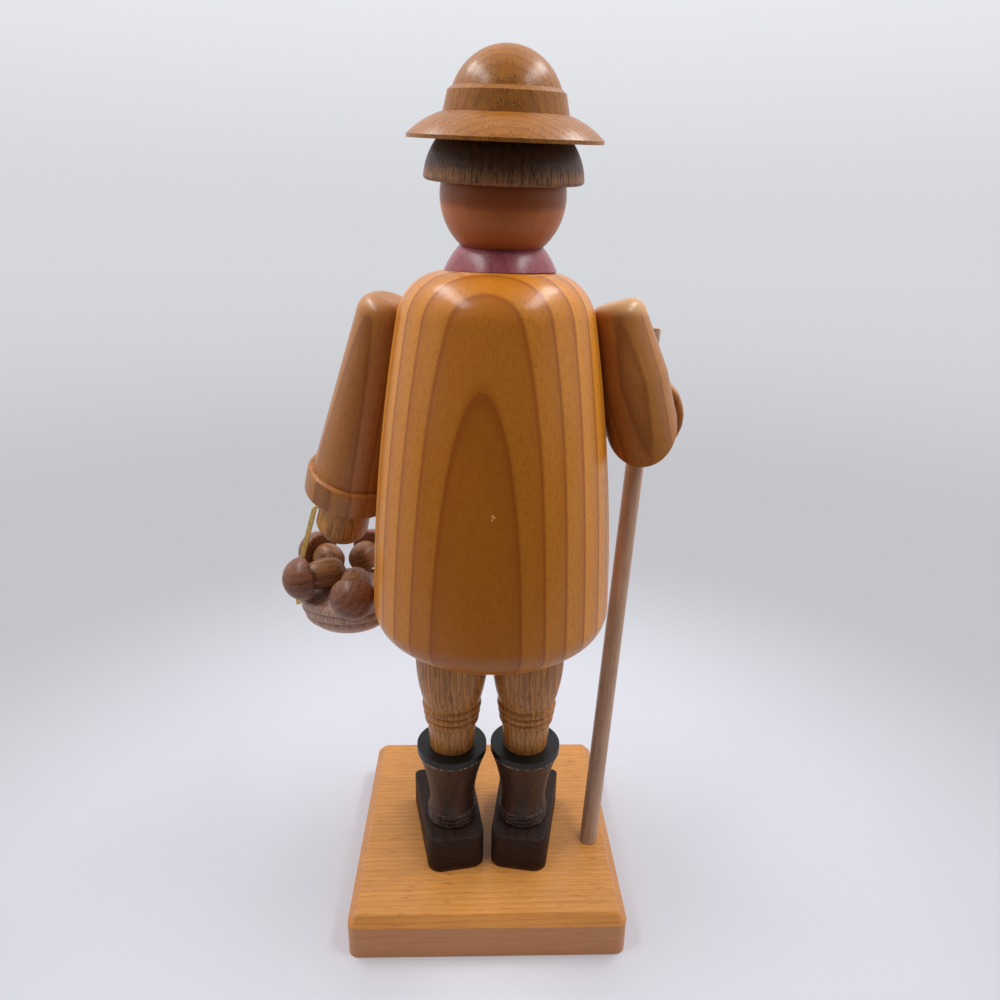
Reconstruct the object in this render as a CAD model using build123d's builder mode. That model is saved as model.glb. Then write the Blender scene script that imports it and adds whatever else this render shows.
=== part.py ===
from build123d import *

import os
from math import atan2, cos, radians, sin, sqrt

# A turned wooden incense smoker: a mushroom gatherer with a basket and a walking stick, on a square stand.
# Millimetres, +Z up, origin at the centre of the stand's underside. The figure faces -Y.
# The coat with head and arms lifts off the plug on the legs, so that a cone can be set on the dish inside.

# Stand
stand_size = 90.0
stand_thickness = 15.0
stand_chamfer = 3.0
stand_top_corner_radius = 0.6
figure_setback = 10.0

# Shoes, boots and legs
foot_spread = 12.4
foot_setback = 2.0
foot_splay = 10.0
shoe_heel_length = 12.8
shoe_toe_length = 25.0
shoe_heel_width = 19.0
shoe_toe_width = 21.4
shoe_height = 13.0
shoe_heel_radius = 4.5
shoe_toe_radius = 2.0
shoe_top_radius = 1.0
boot_height = 30.0
boot_foot_radius = 8.3
boot_waist_radius = 7.6
boot_waist_height = 9.0
boot_rim_radius = 11.7
boot_rim_height = 2.4
boot_flare_hollow = 0.8
ankle_ring_count = 3
ankle_ring_pitch = 1.7
ankle_groove_depth = 0.5
stocking_foot_radius = 7.4
stocking_top_radius = 8.1
stocking_height = 9.5
garter_ring_count = 3
garter_ring_pitch = 2.6
garter_ring_bulge = 0.75
breeches_foot_radius = 9.2
breeches_radius = 11.7
breeches_height = 26.7
breeches_swell_height = 16.5
breeches_bulge = 0.65
tenon_radius = 5.0
tenon_length = 9.0
boot_dowel_radius = 3.0
boot_dowel_in_stand = 9.0
boot_dowel_in_boot = 9.0

# Plug, dish and coat
plug_flange_radius = 25.0
plug_flange_height = 4.0
plug_spigot_radius = 21.2
plug_spigot_height = 10.0
dish_radius = 15.0
dish_height = 2.6
dish_sheet = 0.6
dish_sink = 1.5
vent_radius = 1.9
vent_count = 2
lift_clearance = 0.3
coat_height = 109.0
coat_hem_radius = 36.9
coat_middle_radius = 33.8
coat_shoulder_radius = 25.4
coat_hem_rounding = 9.5
coat_shoulder_rounding = 14.5
chamber_height = 76.0
flue_radius = 4.0
button_radius = 2.3
button_height = 1.5
button_edge = 0.5
button_pin_radius = 0.9
button_pin_length = 3.0
button_count = 4
button_first = 24.0
button_pitch = 19.0

# Scarf, head, hair and hat
head_tilt = 7.0
head_lean = 0.8
head_shift = 0.9
scarf_radius = 15.4
scarf_bulge = 1.1
scarf_top_radius = 11.6
scarf_seat = 6.0
neck_radius = 6.0
neck_depth = 12.0
smoke_bore_radius = 2.5
smoke_bore_overrun = 1.2
head_radius = 16.7
head_height = 26.0
mouth_radius = 2.3
mouth_drop = 6.5
nose_radius = 2.4
nose_length = 3.8
nose_drop = 1.2
nose_pin_radius = 1.2
nose_pin_length = 4.0
hair_radius = 21.0
hair_top_radius = 17.6
hair_hem = 3.4
hair_hem_rounding = 1.0
hair_bulge = 0.85
hair_front = 8.5
hat_brim_radius = 25.2
hat_brim_edge = 0.9
hat_brim_bulge = 0.7
hat_band_radius = 16.0
hat_band_foot = 6.3
hat_band_top_radius = 14.9
hat_band_height = 4.7
hat_crown_radius = 13.6
hat_crown_step = 1.0
hat_height = 21.4
hat_tenon_radius = 7.0
hat_tenon_length = 5.5

# Arms and hands
shoulder_drop = 8.0
shoulder_dowel_radius = 2.5
shoulder_dowel_in_coat = 9.0
shoulder_dowel_in_arm = 4.0
shoulder_dowel_drop = 8.0
arm_seat_gap = 0.15
jig_cones = 4
left_shoulder_angle = -11.0
left_shoulder_bite = 4.5
left_arm_angle = -28.0
sleeve_top_radius = 8.15
sleeve_wrist_radius = 12.8
sleeve_top_rounding = 5.5
sleeve_length = 70.0
cuff_radius = 14.6
cuff_length = 9.6
cuff_rounding = 1.4
hand_radius = 8.8
hand_wrist_radius = 8.3
hand_length = 19.5
hand_dome_height = 6.4
hand_tenon_radius = 5.0
hand_tenon_length = 8.0
grip_drop = 4.7
grip_clearance = 0.35
right_shoulder_angle = 187.0
right_shoulder_bite = 0.2
right_elbow_angle = 184.0
right_elbow_drop = 43.0
right_elbow_gap = 1.0
upper_arm_top_radius = 7.5
upper_arm_top_rounding = 4.2
elbow_radius = 10.6
elbow_straight = 14.0
forearm_angle = 257.0
forearm_rise = 1.0
forearm_length = 16.0
forearm_cuff_radius = 12.8
forearm_cuff_length = 7.5
fist_radius = 8.4
fist_reach = 26.0

# Walking stick
stick_radius = 3.0
stick_foot_inset = 8.3
stick_foot_setback = 1.0
stick_above_fist = 25.0
stick_chamfer = 0.5

# Basket and mushrooms
basket_gap = 3.3
basket_rim_radius = 16.8
basket_foot_radius = 10.0
basket_height = 12.4
basket_rim_width = 1.6
basket_fill_drop = 0.6
basket_fill_rise = 4.0
basket_bead_count = 4
basket_bead_bulge = 0.75
handle_rise = 31.0
handle_width = 3.0
handle_thickness = 1.4
handle_beyond_hand = 1.6
handle_knee = 4.0
handle_foot = 6.0
handle_knee_radius = 30.0
handle_corner_radius = 3.2
stalk_length = 13.5
stalk_end_height = 3.6
stalk_end_radius = 4.7
stalk_bulb_height = 7.4
stalk_bulb_radius = 5.2
stalk_neck_radius = 3.7
stalk_in_cap = 1.8
cap_radius = 7.6
cap_height = 8.2
cap_edge = 1.1

# Fits
glue_gap = 0.05
rest_gap = 0.15

os.makedirs("parts", exist_ok=True)


def save(piece, name):
    piece.part.label = name
    export_step(piece.part, f"parts/{name}.step")


def lathe_plane(foot, along):
    """A plane for half profiles: local x is the radius, local y runs along the turning axis."""
    axis = Vector(along).normalized()
    across = Vector(1, 0, 0) if abs(axis.X) < 0.9 else Vector(0, 1, 0)
    normal = across.cross(axis).normalized()
    return Plane(origin=foot, x_dir=axis.cross(normal), z_dir=normal)


def turning_axis(plane):
    return Axis(plane.origin, plane.y_dir)


def dome_middle(radius, rise):
    """A point halfway up a round dome: its radius, and its height above the dome's rim."""
    ball = (radius**2 + rise**2) / (2 * rise)
    turn = atan2(radius, ball - rise) / 2
    return ball * sin(turn), rise - ball * (1 - cos(turn))


def around_coat(angle, distance, height):
    """A point at an angle and distance from the figure's axis."""
    turn = radians(angle)
    return Vector(distance * cos(turn), figure_setback + distance * sin(turn), height)


# Levels, from the floor up
shoe_foot = stand_thickness
boot_foot = shoe_foot + shoe_height
leg_foot = boot_foot + boot_height
leg_height = stocking_height + garter_ring_count * garter_ring_pitch + breeches_height
coat_foot = leg_foot + leg_height
coat_top = coat_foot + coat_height
foot_y = figure_setback + foot_setback
seat_radius = plug_flange_radius + lift_clearance
chamber_radius = plug_spigot_radius + lift_clearance


coat_bow = coat_middle_radius - (coat_hem_radius + coat_shoulder_radius) / 2


def coat_side_radius(height):
    """Radius of the coat's bowed side at a height above the hem, before its ends are rounded."""
    half = coat_height / 2
    slope = (coat_shoulder_radius - coat_hem_radius) / coat_height
    share = (height - half) / half
    return coat_middle_radius + slope * (height - half) - coat_bow * share * share


def coat_side_lean(height):
    """Growth of the coat's radius with height, at a height above the hem."""
    half = coat_height / 2
    slope = (coat_shoulder_radius - coat_hem_radius) / coat_height
    return slope - 2 * coat_bow * (height - half) / half**2


# Stand: a square plate with a chamfered top edge
with BuildPart() as base_plate:
    with BuildSketch(Plane.XY):
        RectangleRounded(stand_size, stand_size, stand_chamfer + stand_top_corner_radius)
    extrude(amount=stand_thickness)
    chamfer(base_plate.faces().sort_by(Axis.Z)[-1].edges(), stand_chamfer)
    with BuildSketch(Plane.XY.offset(stand_thickness)):
        with Locations((foot_spread, foot_y), (-foot_spread, foot_y)):
            Circle(boot_dowel_radius + glue_gap)
    extrude(amount=-boot_dowel_in_stand - rest_gap, mode=Mode.SUBTRACT)
save(base_plate, "base_plate")


def make_shoe(side):
    """A flat shoe, wider at the toe, turned outwards about the leg's axis."""
    turned_out = Plane((side * foot_spread, foot_y, shoe_foot)).rotated((0, 0, side * foot_splay))
    heel = shoe_heel_width / 2
    toe = shoe_toe_width / 2
    with BuildPart() as shoe:
        with BuildSketch(turned_out):
            with BuildLine():
                Polyline(
                    (-heel, shoe_heel_length),
                    (heel, shoe_heel_length),
                    (toe, -shoe_toe_length),
                    (-toe, -shoe_toe_length),
                    close=True,
                )
            make_face()
        extrude(amount=shoe_height)
        uprights = shoe.edges().filter_by(Axis.Z).sort_by(Axis.Y)
        fillet(uprights[2:], shoe_heel_radius)
        fillet(shoe.edges().filter_by(Axis.Z).sort_by(Axis.Y)[:2], shoe_toe_radius)
        fillet(shoe.faces().sort_by(Axis.Z)[-1].edges(), shoe_top_radius)
        with BuildSketch(turned_out):
            Circle(boot_dowel_radius + glue_gap)
        extrude(amount=shoe_height, mode=Mode.SUBTRACT)
    return shoe


def make_boot(side):
    """A boot shaft with ankle rings and a flared rim, socketed for the leg."""
    lathe = lathe_plane((side * foot_spread, foot_y, boot_foot), (0, 0, 1))
    ring_top = ankle_ring_count * ankle_ring_pitch
    rim_foot = boot_height - boot_rim_height
    flare_middle = (boot_waist_height + rim_foot) / 2
    flare_radius = (boot_waist_radius + boot_rim_radius) / 2 - boot_flare_hollow
    with BuildPart() as boot:
        with BuildSketch(lathe):
            with BuildLine():
                for ring in range(ankle_ring_count):
                    low = ring * ankle_ring_pitch
                    ThreePointArc(
                        (boot_foot_radius - ankle_groove_depth, low),
                        (boot_foot_radius, low + ankle_ring_pitch / 2),
                        (boot_foot_radius - ankle_groove_depth, low + ankle_ring_pitch),
                    )
                Line((boot_foot_radius - ankle_groove_depth, ring_top), (boot_waist_radius, boot_waist_height))
                ThreePointArc(
                    (boot_waist_radius, boot_waist_height),
                    (flare_radius, flare_middle),
                    (boot_rim_radius, rim_foot),
                )
                Polyline(
                    (boot_rim_radius, rim_foot),
                    (boot_rim_radius, boot_height),
                    (0, boot_height),
                    (0, 0),
                    (boot_foot_radius - ankle_groove_depth, 0),
                )
            make_face()
        revolve(axis=turning_axis(lathe))
        with BuildSketch(Plane((side * foot_spread, foot_y, leg_foot))):
            Circle(tenon_radius + glue_gap)
        extrude(amount=-tenon_length - rest_gap, mode=Mode.SUBTRACT)
        with BuildSketch(Plane((side * foot_spread, foot_y, boot_foot))):
            Circle(boot_dowel_radius + glue_gap)
        extrude(amount=boot_dowel_in_boot + rest_gap, mode=Mode.SUBTRACT)
    return boot


def make_boot_dowel(side):
    with BuildPart() as dowel:
        with BuildSketch(Plane((side * foot_spread, foot_y, stand_thickness - boot_dowel_in_stand))):
            Circle(boot_dowel_radius)
        extrude(amount=boot_dowel_in_stand + shoe_height + boot_dowel_in_boot)
    return dowel


def make_leg(side):
    """Stocking, garter rings and full breeches, turned in one piece with a tenon at each end."""
    lathe = lathe_plane((side * foot_spread, foot_y, leg_foot), (0, 0, 1))
    breeches_foot = stocking_height + garter_ring_count * garter_ring_pitch
    step = (breeches_foot_radius - stocking_top_radius) / garter_ring_count
    swell_radius = (breeches_foot_radius + breeches_radius) / 2 + breeches_bulge
    with BuildPart() as leg:
        with BuildSketch(lathe):
            with BuildLine():
                Polyline(
                    (0, -tenon_length),
                    (tenon_radius, -tenon_length),
                    (tenon_radius, 0),
                    (stocking_foot_radius, 0),
                    (stocking_top_radius, stocking_height),
                )
                for ring in range(garter_ring_count):
                    low = stocking_height + ring * garter_ring_pitch
                    inner = stocking_top_radius + ring * step
                    ThreePointArc(
                        (inner, low),
                        (inner + step / 2 + garter_ring_bulge, low + garter_ring_pitch / 2),
                        (inner + step, low + garter_ring_pitch),
                    )
                ThreePointArc(
                    (breeches_foot_radius, breeches_foot),
                    (swell_radius, breeches_foot + breeches_swell_height / 2),
                    (breeches_radius, breeches_foot + breeches_swell_height),
                )
                Polyline(
                    (breeches_radius, breeches_foot + breeches_swell_height),
                    (breeches_radius, leg_height),
                    (tenon_radius, leg_height),
                    (tenon_radius, leg_height + tenon_length),
                    (0, leg_height + tenon_length),
                    (0, -tenon_length),
                )
            make_face()
        revolve(axis=turning_axis(lathe))
    return leg


for side, word in ((1, "left"), (-1, "right")):
    save(make_shoe(side), f"{word}_shoe")
    save(make_boot_dowel(side), f"{word}_boot_dowel")
    save(make_boot(side), f"{word}_boot")
    save(make_leg(side), f"{word}_leg")

# Plug on the legs: its flange carries the coat, its spigot centres it, and its top holds the dish
plug_lathe = lathe_plane((0, figure_setback, coat_foot), (0, 0, 1))
plug_height = plug_flange_height + plug_spigot_height
dish_foot = plug_height - dish_sink
vent_ring_radius = (dish_radius + plug_spigot_radius) / 2
with BuildPart() as trunk_plug:
    with BuildSketch(plug_lathe):
        with BuildLine():
            Polyline(
                (0, 0),
                (plug_flange_radius, 0),
                (plug_flange_radius, plug_flange_height),
                (plug_spigot_radius, plug_flange_height),
                (plug_spigot_radius, plug_height),
                (dish_radius + rest_gap, plug_height),
                (dish_radius + rest_gap, dish_foot),
                (0, dish_foot),
                close=True,
            )
        make_face()
    revolve(axis=turning_axis(plug_lathe))
    with BuildSketch(Plane((0, foot_y, coat_foot))):
        with Locations((foot_spread, 0), (-foot_spread, 0)):
            Circle(tenon_radius + glue_gap)
    extrude(amount=tenon_length + rest_gap, mode=Mode.SUBTRACT)
    with BuildSketch(Plane((0, figure_setback, coat_foot))):
        with PolarLocations(vent_ring_radius, vent_count, start_angle=90):
            Circle(vent_radius)
    extrude(amount=plug_height, mode=Mode.SUBTRACT)
save(trunk_plug, "trunk_plug")

# Dish: a pressed metal saucer for the incense cone
dish_lathe = lathe_plane((0, figure_setback, coat_foot + dish_foot), (0, 0, 1))
dish_floor_radius = dish_radius - dish_height
with BuildPart() as cone_dish:
    with BuildSketch(dish_lathe):
        with BuildLine():
            Polyline(
                (0, 0),
                (dish_floor_radius, 0),
                (dish_radius, dish_height),
                (dish_radius - dish_sheet, dish_height + dish_sheet / 2),
                (dish_floor_radius - dish_sheet / 2, dish_sheet),
                (0, dish_sheet),
                close=True,
            )
        make_face()
    revolve(axis=turning_axis(dish_lathe))
save(cone_dish, "cone_dish")

# Neck frame: its z axis is the head's axis, which leans back and a little to the right; local -y is the face
head_axis = Vector(-sin(radians(head_lean)), sin(radians(head_tilt)), cos(radians(head_tilt))).normalized()
neck_frame = Plane(origin=(-head_shift, figure_setback, coat_top), x_dir=(1, 0, 0), z_dir=head_axis)
face_direction = neck_frame.y_dir * -1

# Places of the arms
shoulder_height = coat_top - shoulder_drop
left_shoulder = around_coat(
    left_shoulder_angle,
    coat_side_radius(coat_height - shoulder_drop) + sleeve_top_radius - left_shoulder_bite,
    shoulder_height,
)
left_arm_length = sleeve_length + hand_length - hand_radius
left_reach = coat_hem_radius + basket_rim_radius + basket_gap
left_plan = around_coat(left_arm_angle, left_reach, 0)
left_run = sqrt((left_plan.X - left_shoulder.X) ** 2 + (left_plan.Y - left_shoulder.Y) ** 2)
left_fall = sqrt(left_arm_length**2 - left_run**2)
left_palm = Vector(left_plan.X, left_plan.Y, shoulder_height - left_fall)
left_direction = (left_palm - left_shoulder).normalized()
left_wrist = left_shoulder + left_direction * sleeve_length
grip = left_wrist + left_direction * grip_drop

right_shoulder = around_coat(
    right_shoulder_angle,
    coat_side_radius(coat_height - shoulder_drop) + upper_arm_top_radius - right_shoulder_bite,
    shoulder_height,
)
right_elbow = around_coat(
    right_elbow_angle,
    coat_side_radius(coat_height - right_elbow_drop) + elbow_radius + right_elbow_gap,
    coat_top - right_elbow_drop,
)
upper_arm_direction = (right_elbow - right_shoulder).normalized()
upper_arm_length = (right_elbow - right_shoulder).length
forearm_direction = Vector(
    cos(radians(forearm_rise)) * cos(radians(forearm_angle)),
    cos(radians(forearm_rise)) * sin(radians(forearm_angle)),
    sin(radians(forearm_rise)),
)
right_wrist = right_elbow + forearm_direction * forearm_length
fist_centre = right_elbow + forearm_direction * fist_reach
stick_foot = Vector(stick_foot_inset - stand_size / 2, figure_setback + stick_foot_setback, stand_thickness)
stick_direction = (fist_centre - stick_foot).normalized()
stick_length = (fist_centre - stick_foot).length + stick_above_fist


def shoulder_dowel_line(shoulder, direction):
    """Start, direction and length of the dowel between coat and arm."""
    inside_arm = shoulder + direction * shoulder_dowel_drop
    outward = Vector(inside_arm.X, inside_arm.Y - figure_setback, 0)
    reach = outward.length
    outward = outward.normalized()
    wall = coat_side_radius(inside_arm.Z - coat_foot)
    start = inside_arm - outward * (reach - wall + shoulder_dowel_in_coat)
    length = reach - wall + shoulder_dowel_in_coat + shoulder_dowel_in_arm
    return start, outward, length


left_dowel_line = shoulder_dowel_line(left_shoulder, left_direction)
right_dowel_line = shoulder_dowel_line(right_shoulder, upper_arm_direction)


def make_shoulder_rod(line, side_gap, end_gap):
    """A shoulder dowel, or with gaps the hole that it sits in."""
    start, outward, length = line
    with BuildPart() as rod:
        with BuildSketch(Plane(origin=start - outward * end_gap, z_dir=outward)):
            Circle(shoulder_dowel_radius + side_gap)
        extrude(amount=length + 2 * end_gap)
    return rod


left_dowel_hole = make_shoulder_rod(left_dowel_line, glue_gap, rest_gap).part
right_dowel_hole = make_shoulder_rod(right_dowel_line, glue_gap, rest_gap).part


def button_plane(place):
    """Plane on the coat's front, facing out, for one button counted from the hem."""
    height = button_first + place * button_pitch
    lean = coat_side_lean(height)
    spot = around_coat(-90, coat_side_radius(height) + rest_gap, coat_foot + height)
    return Plane(origin=spot, x_dir=(1, 0, 0), z_dir=(0, -1, -lean))


# Jig for the arms: a stack of cones just clear of the coat's side, to which their inner faces are cut
coat_lathe = lathe_plane((0, figure_setback, coat_foot), (0, 0, 1))
jig_step = coat_height / jig_cones
jig_gap = arm_seat_gap + coat_bow * (jig_step / coat_height) ** 2
with BuildPart() as arm_jig:
    with BuildSketch(coat_lathe):
        with BuildLine():
            heights = [step * jig_step for step in range(jig_cones + 1)]
            side_points = [(coat_side_radius(height) + jig_gap, height) for height in heights]
            Polyline((0, 0), *side_points, (0, coat_height), close=True)
        make_face()
    revolve(axis=turning_axis(coat_lathe))

# Coat: hollow, with a seat for the plug, the smoke chamber, and a flue up to the neck
with BuildPart() as coat:
    with BuildSketch(coat_lathe):
        with BuildLine():
            coat_side = ThreePointArc(
                (coat_hem_radius, 0), (coat_middle_radius, coat_height / 2), (coat_shoulder_radius, coat_height)
            )
            Polyline(coat_side @ 1, (0, coat_height), (0, 0), coat_side @ 0)
        make_face()
    revolve(axis=turning_axis(coat_lathe))
    fillet(coat.edges().filter_by(GeomType.CIRCLE).sort_by(Axis.Z)[-1], coat_shoulder_rounding)
    fillet(coat.edges().filter_by(GeomType.CIRCLE).sort_by(Axis.Z)[0], coat_hem_rounding)
    with BuildSketch(coat_lathe):
        with BuildLine():
            Polyline(
                (0, 0),
                (seat_radius, 0),
                (seat_radius, plug_flange_height),
                (chamber_radius, plug_flange_height),
                (chamber_radius, chamber_height),
                (flue_radius, chamber_height),
                (flue_radius, coat_height - neck_depth),
                (0, coat_height - neck_depth),
                close=True,
            )
        make_face()
    revolve(axis=turning_axis(coat_lathe), mode=Mode.SUBTRACT)
    with BuildSketch(neck_frame):
        Circle(neck_radius + glue_gap)
    extrude(amount=neck_depth + rest_gap, both=True, mode=Mode.SUBTRACT)
    add(left_dowel_hole, mode=Mode.SUBTRACT)
    add(right_dowel_hole, mode=Mode.SUBTRACT)
    for place in range(button_count):
        with BuildSketch(button_plane(place)):
            Circle(button_pin_radius + glue_gap)
        extrude(amount=-button_pin_length - rest_gap, mode=Mode.SUBTRACT)
save(coat, "coat")

# Buttons: domed pegs down the front of the coat
button_dome = dome_middle(button_radius, button_height - button_edge)
with BuildPart() as coat_buttons:
    for place in range(button_count):
        front = button_plane(place)
        button_lathe = lathe_plane(front.origin, front.z_dir)
        with BuildSketch(button_lathe):
            with BuildLine():
                Polyline(
                    (0, button_height),
                    (0, -button_pin_length),
                    (button_pin_radius, -button_pin_length),
                    (button_pin_radius, 0),
                    (button_radius, 0),
                    (button_radius, button_edge),
                )
                ThreePointArc(
                    (button_radius, button_edge),
                    (button_dome[0], button_edge + button_dome[1]),
                    (0, button_height),
                )
            make_face()
        revolve(axis=turning_axis(button_lathe))
save(coat_buttons, "coat_buttons")

# Scarf: a turned ring on the coat, its top cut to the lean of the head
scarf_lathe = lathe_plane(neck_frame.origin, (0, 0, 1))
scarf_high = scarf_seat + scarf_radius * sin(radians(head_tilt))
with BuildPart() as scarf_ring:
    with BuildSketch(scarf_lathe):
        with BuildLine():
            ThreePointArc(
                (scarf_radius, 0),
                ((scarf_radius + scarf_top_radius) / 2 + scarf_bulge, scarf_high / 2),
                (scarf_top_radius, scarf_high),
            )
            Polyline((scarf_top_radius, scarf_high), (0, scarf_high), (0, 0), (scarf_radius, 0))
        make_face()
    revolve(axis=turning_axis(scarf_lathe))
    split(bisect_by=neck_frame.offset(scarf_seat), keep=Keep.BOTTOM)
    with BuildSketch(neck_frame):
        Circle(neck_radius + glue_gap)
    extrude(amount=scarf_high * 2, both=True, mode=Mode.SUBTRACT)
save(scarf_ring, "scarf_ring")

# Head: a ball flattened at neck and crown, bored for the smoke, with a spigot below and a tenon above
head_lathe = lathe_plane(neck_frame.origin, head_axis)
head_centre = scarf_seat + head_height / 2
head_flat_radius = sqrt(head_radius**2 - (head_height / 2) ** 2)
hat_seat = scarf_seat + head_height
smoke_bore_length = neck_depth + head_centre - mouth_drop + mouth_radius + smoke_bore_overrun
mouth_frame = Plane(
    origin=neck_frame.from_local_coords(Vector(0, 0, head_centre - mouth_drop)), z_dir=face_direction
)
nose_frame = Plane(
    origin=neck_frame.from_local_coords(Vector(0, -head_radius, head_centre - nose_drop)), z_dir=face_direction
)
with BuildPart() as head:
    with BuildSketch(head_lathe):
        with BuildLine():
            Polyline(
                (head_flat_radius, hat_seat),
                (hat_tenon_radius, hat_seat),
                (hat_tenon_radius, hat_seat + hat_tenon_length),
                (0, hat_seat + hat_tenon_length),
                (0, -neck_depth),
                (neck_radius, -neck_depth),
                (neck_radius, scarf_seat),
                (head_flat_radius, scarf_seat),
            )
            ThreePointArc(
                (head_flat_radius, scarf_seat), (head_radius, head_centre), (head_flat_radius, hat_seat)
            )
        make_face()
    revolve(axis=turning_axis(head_lathe))
    with BuildSketch(neck_frame.offset(-neck_depth)):
        Circle(smoke_bore_radius)
    extrude(amount=smoke_bore_length, mode=Mode.SUBTRACT)
    with BuildSketch(mouth_frame):
        Circle(mouth_radius)
    extrude(amount=head_radius, mode=Mode.SUBTRACT)
    with BuildSketch(nose_frame):
        Circle(nose_pin_radius + glue_gap)
    extrude(amount=nose_pin_length + rest_gap, both=True, mode=Mode.SUBTRACT)
save(head, "head")

# Nose: a small turned peg
nose_lathe = lathe_plane(nose_frame.origin + face_direction * rest_gap, face_direction)
nose_dome = dome_middle(nose_radius, nose_length)
with BuildPart() as nose:
    with BuildSketch(nose_lathe):
        with BuildLine():
            Polyline(
                (0, nose_length),
                (0, -nose_pin_length),
                (nose_pin_radius, -nose_pin_length),
                (nose_pin_radius, 0),
                (nose_radius, 0),
            )
            ThreePointArc((nose_radius, 0), nose_dome, (0, nose_length))
        make_face()
    revolve(axis=turning_axis(nose_lathe))
save(nose, "nose")

# Hair: a turned bowl over the back of the head, sawn off flat at the face
hair_foot = head_centre + hair_hem
hair_inner = head_radius + rest_gap
hair_middle = (hair_foot + hat_seat) / 2
hair_swell = (hair_radius + hair_top_radius) / 2 + hair_bulge
with BuildPart() as hair:
    with BuildSketch(head_lathe):
        with BuildLine():
            ThreePointArc((hair_radius, hair_foot), (hair_swell, hair_middle), (hair_top_radius, hat_seat))
            Polyline((hair_top_radius, hat_seat), (0, hat_seat), (0, hair_foot), (hair_radius, hair_foot))
        make_face()
    revolve(axis=turning_axis(head_lathe))
    hem = hair.edges().filter_by(GeomType.CIRCLE).sort_by(turning_axis(head_lathe))[0]
    fillet(hem, hair_hem_rounding)
    with Locations(neck_frame.from_local_coords(Vector(0, 0, head_centre))):
        Sphere(hair_inner, mode=Mode.SUBTRACT)
    split(
        bisect_by=Plane(
            origin=neck_frame.from_local_coords(Vector(0, -hair_front, 0)), z_dir=face_direction
        ),
        keep=Keep.BOTTOM,
    )
save(hair, "hair")

# Hat: brim, band and domed crown turned in one piece
hat_lathe = lathe_plane(neck_frame.from_local_coords(Vector(0, 0, hat_seat)), head_axis)
hat_band_top = hat_band_foot + hat_band_height
hat_crown_foot = hat_band_top + hat_crown_step
crown_dome = dome_middle(hat_crown_radius, hat_height - hat_crown_foot)
brim_middle = (hat_brim_radius + hat_band_radius) / 2
with BuildPart() as hat:
    with BuildSketch(hat_lathe):
        with BuildLine():
            Polyline((0, hat_height), (0, 0), (hat_brim_radius, 0), (hat_brim_radius, hat_brim_edge))
            ThreePointArc(
                (hat_brim_radius, hat_brim_edge),
                (brim_middle, (hat_brim_edge + hat_band_foot) / 2 + hat_brim_bulge),
                (hat_band_radius, hat_band_foot),
            )
            Polyline(
                (hat_band_radius, hat_band_foot),
                (hat_band_top_radius, hat_band_top),
                (hat_crown_radius, hat_crown_foot),
            )
            ThreePointArc(
                (hat_crown_radius, hat_crown_foot),
                (crown_dome[0], hat_crown_foot + crown_dome[1]),
                (0, hat_height),
            )
        make_face()
    revolve(axis=turning_axis(hat_lathe))
    with BuildSketch(neck_frame.offset(hat_seat)):
        Circle(hat_tenon_radius + glue_gap)
    extrude(amount=hat_tenon_length + rest_gap, mode=Mode.SUBTRACT)
save(hat, "hat")

# Left arm: one straight sleeve with its cuff, hollowed where it lies against the coat
left_lathe = lathe_plane(left_shoulder, left_direction)
left_axis = turning_axis(left_lathe)
cuff_foot = sleeve_length - cuff_length
with BuildPart() as left_sleeve:
    with BuildSketch(left_lathe):
        with BuildLine():
            Polyline(
                (0, 0),
                (sleeve_top_radius, 0),
                (sleeve_wrist_radius, cuff_foot),
                (cuff_radius, cuff_foot),
                (cuff_radius, sleeve_length),
                (0, sleeve_length),
                close=True,
            )
        make_face()
    revolve(axis=left_axis)
    fillet(left_sleeve.edges().filter_by(GeomType.CIRCLE).sort_by(left_axis)[0], sleeve_top_rounding)
    cuff_edges = left_sleeve.edges().filter_by(GeomType.CIRCLE).sort_by(left_axis)[-3:]
    fillet(cuff_edges.sort_by(SortBy.RADIUS)[-2:], cuff_rounding)
    add(arm_jig.part, mode=Mode.SUBTRACT)
    with BuildSketch(Plane(origin=left_wrist, z_dir=left_direction)):
        Circle(hand_tenon_radius + glue_gap)
    extrude(amount=-hand_tenon_length - rest_gap, mode=Mode.SUBTRACT)
    add(left_dowel_hole, mode=Mode.SUBTRACT)
save(left_sleeve, "left_sleeve")

# Left hand: a round-ended peg with a level hole for the basket's handle
left_hand_lathe = lathe_plane(left_wrist, left_direction)
palm_height = hand_length - hand_dome_height
hand_dome = dome_middle(hand_radius, hand_dome_height)
grip_hole_radius = sqrt(handle_width**2 + handle_thickness**2) / 2 + grip_clearance
with BuildPart() as left_hand:
    with BuildSketch(left_hand_lathe):
        with BuildLine():
            Polyline(
                (0, hand_length),
                (0, -hand_tenon_length),
                (hand_tenon_radius, -hand_tenon_length),
                (hand_tenon_radius, 0),
                (hand_wrist_radius, 0),
                (hand_radius, palm_height),
            )
            ThreePointArc(
                (hand_radius, palm_height), (hand_dome[0], palm_height + hand_dome[1]), (0, hand_length)
            )
        make_face()
    revolve(axis=turning_axis(left_hand_lathe))
    with BuildSketch(Plane(origin=grip, z_dir=(1, 0, 0))):
        Circle(grip_hole_radius)
    extrude(amount=hand_radius * 3, both=True, mode=Mode.SUBTRACT)
save(left_hand, "left_hand")

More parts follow.
